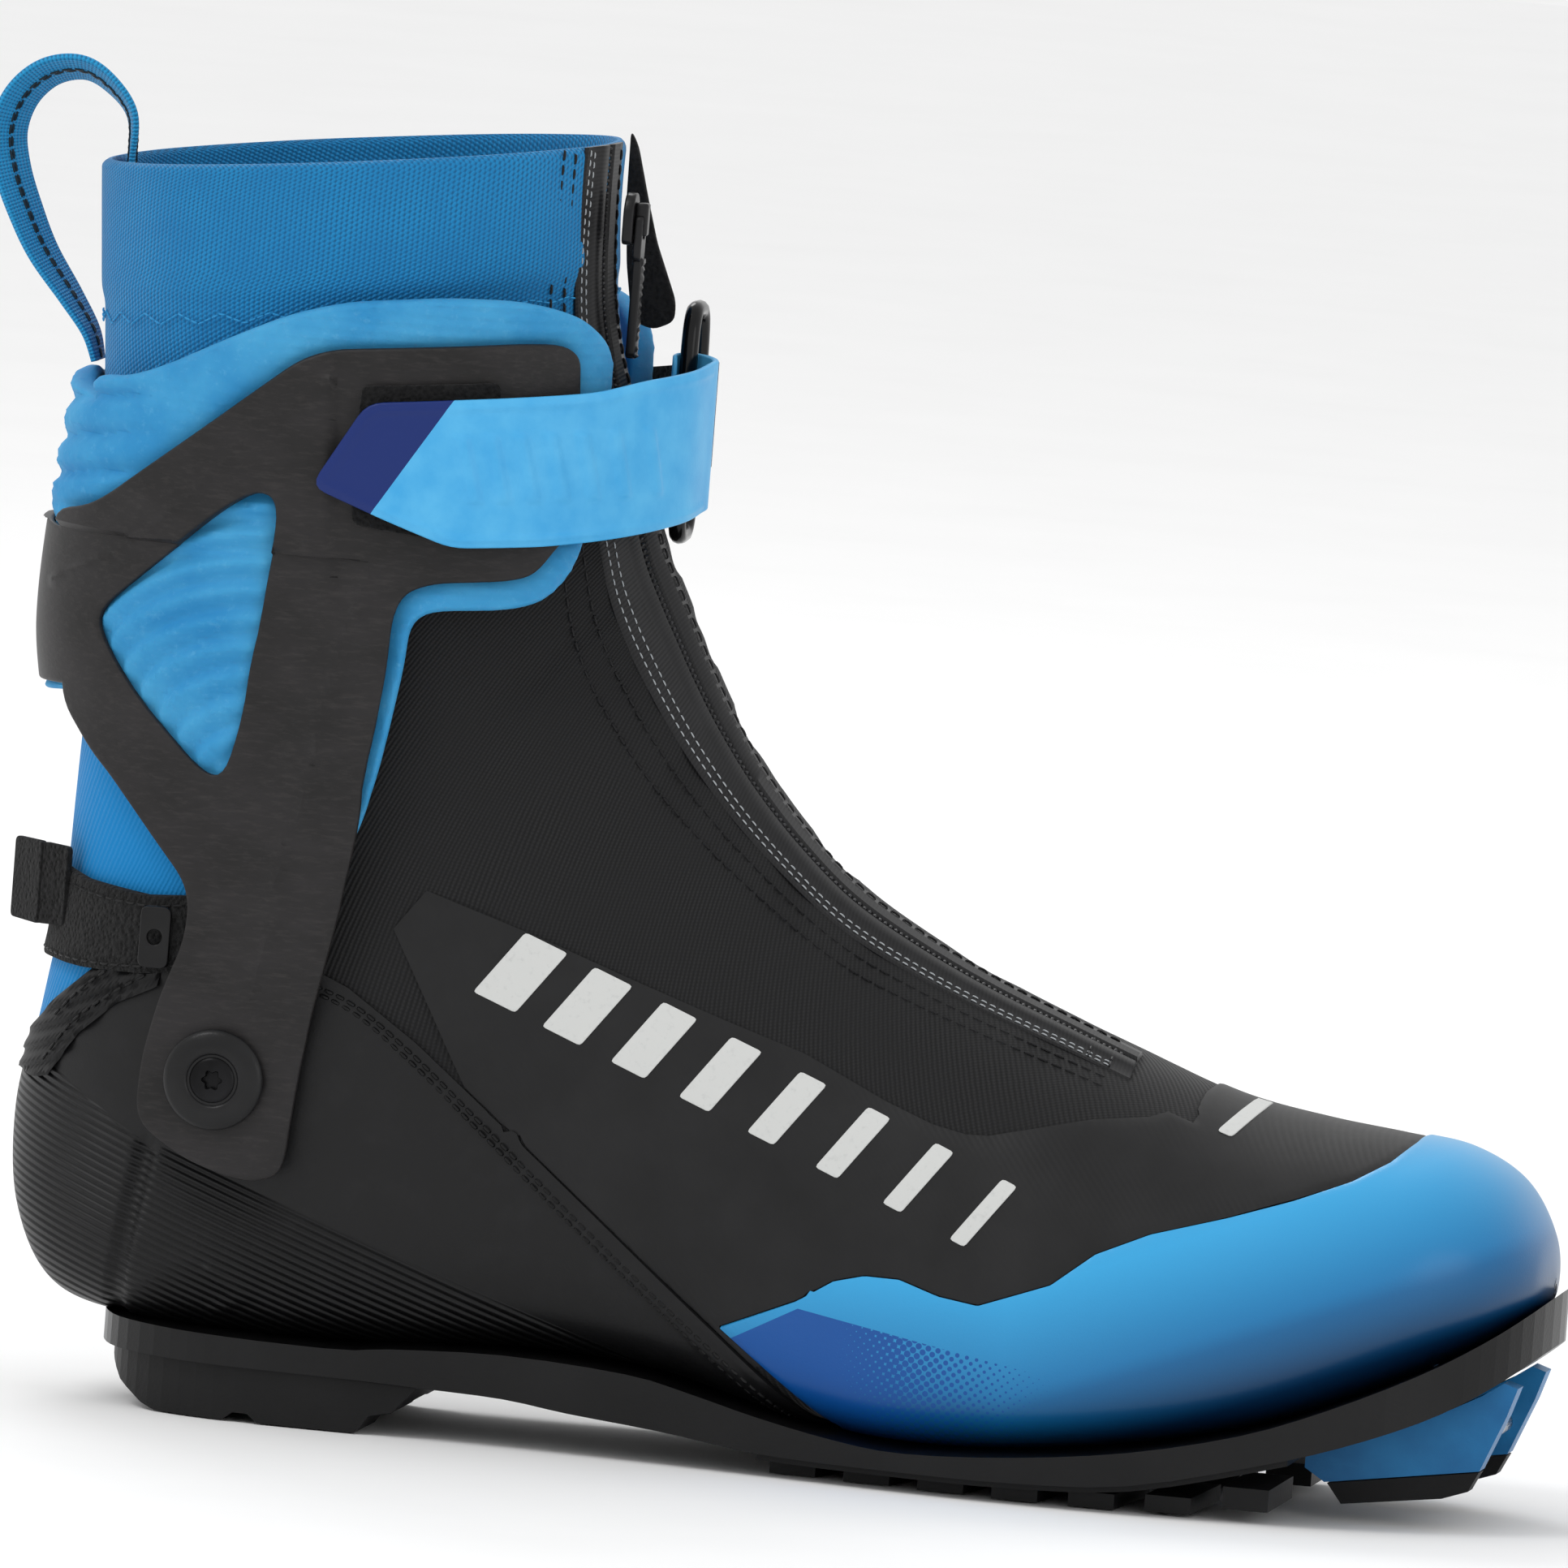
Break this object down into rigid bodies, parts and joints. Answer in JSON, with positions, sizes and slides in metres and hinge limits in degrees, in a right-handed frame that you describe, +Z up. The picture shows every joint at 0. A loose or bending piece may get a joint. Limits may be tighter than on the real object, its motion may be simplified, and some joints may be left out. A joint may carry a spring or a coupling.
{
  "type": "cross country skate boot",
  "caption": "Ankle-high ski boot: soft zipped upper on a stiff sole with a toe bar, hinged composite cuff with foam pad and closing strap.",
  "frame": {"origin": "middle of the bounding box, on the surface the boot stands on", "axes": "+X to the toe, +Y to the inner side of the right foot, +Z up"},
  "size_m": [0.3254, 0.1, 0.2599],
  "materials": {
    "sole_plastic": "moulded, half gloss",
    "tread_rubber": "moulded rubber",
    "toe_blue": "moulded, satin",
    "steel": "polished pin",
    "board": "fibre board",
    "insole_foam": "knit topped foam",
    "softshell": "woven, matt",
    "bootie_lining": "brushed lining",
    "lace_cord": "braided",
    "black_plastic": "moulded",
    "counter_tpu": "moulded, ribbed",
    "film": "coated film",
    "guard_blue": "coated, satin",
    "knit_blue": "elastic knit",
    "webbing_blue": "woven webbing",
    "zip_black": "woven tape",
    "hook_loop": "pile",
    "frame_composite": "fibre filled composite",
    "pad_foam": "moulded foam",
    "strap_blue": "moulded, satin"
  },
  "bodies": {
    "boot": {"sole_chassis": "sole_plastic", "heel_pad": "tread_rubber", "forefoot_tread": "tread_rubber", "toe_block": "toe_blue", "toe_wear_pad": "tread_rubber", "toe_bar": "steel", "lasting_board": "board", "insole": "insole_foam", "softshell_foot": "softshell", "softshell_ankle": "softshell", "bootie_foot": "bootie_lining", "bootie_ankle": "bootie_lining", "tongue": "bootie_lining", "lace": "lace_cord", "lace_lock": "black_plastic", "heel_counter": "counter_tpu", "heel_binding": "counter_tpu", "forefoot_film": "film", "toe_guard": "guard_blue", "zip_tape_foot": "zip_black", "zip_coil_foot": "black_plastic", "zip_ankle": "zip_black", "heel_strap": "hook_loop", "strap_keepers": "black_plastic", "pivot_spacers": "black_plastic", "pivot_screws": "black_plastic", "pivot_nuts": "steel"},
    "cuff": {"softshell_shaft": "softshell", "bootie_shaft": "bootie_lining", "knit_collar": "knit_blue", "pull_loop": "webbing_blue", "zip_tape": "zip_black", "zip_coil": "black_plastic", "cuff_frame": "frame_composite", "cuff_pad": "pad_foam", "hook_patch": "hook_loop", "strap_base": "hook_loop", "strap_ring": "black_plastic", "ring_holder": "hook_loop", "pivot_bushings": "black_plastic", "pivot_washers": "black_plastic"},
    "strap": {"cuff_strap": "strap_blue"},
    "flap": {"zip_flap": "zip_black"},
    "slider": {"zip_slider": "black_plastic"},
    "puller": {"zip_puller": "black_plastic"},
    "tab": {"heel_strap_tab": "hook_loop"}
  },
  "joints": [
    {"name": "cuff_flex", "type": "hinge", "parent": "boot", "child": "cuff", "pos_m": [-0.099, 0, 0.067], "axis": [0, 1, 0], "range_deg": [-4, 12], "stiffness_Nm_per_rad": 8, "deforming": ["softshell_ankle", "bootie_ankle", "zip_ankle"]},
    {"name": "strap_open", "type": "hinge", "parent": "cuff", "child": "strap", "pos_m": [-0.0243, 0.003, 0.2], "axis": [0, 0, 1], "range_deg": [0, 110]},
    {"name": "flap_fold", "type": "hinge", "parent": "cuff", "child": "flap", "pos_m": [-0.0395, 0.005, 0.235], "axis": [0, 0, 1], "range_deg": [-40, 70]},
    {"name": "zip_travel", "type": "slide", "parent": "cuff", "child": "slider", "axis": [0.087, 0, -0.9962], "range_m": [0, 0.008]},
    {"name": "puller_swing", "type": "hinge", "parent": "slider", "child": "puller", "pos_m": [-0.0336, -0.01, 0.238], "axis": [0, -1, 0], "range_deg": [0, 90]},
    {"name": "heel_tab_peel", "type": "hinge", "parent": "boot", "child": "tab", "pos_m": [-0.1405, -0.015, 0.1], "axis": [0, 0, 1], "range_deg": [0, 80]}
  ]
}
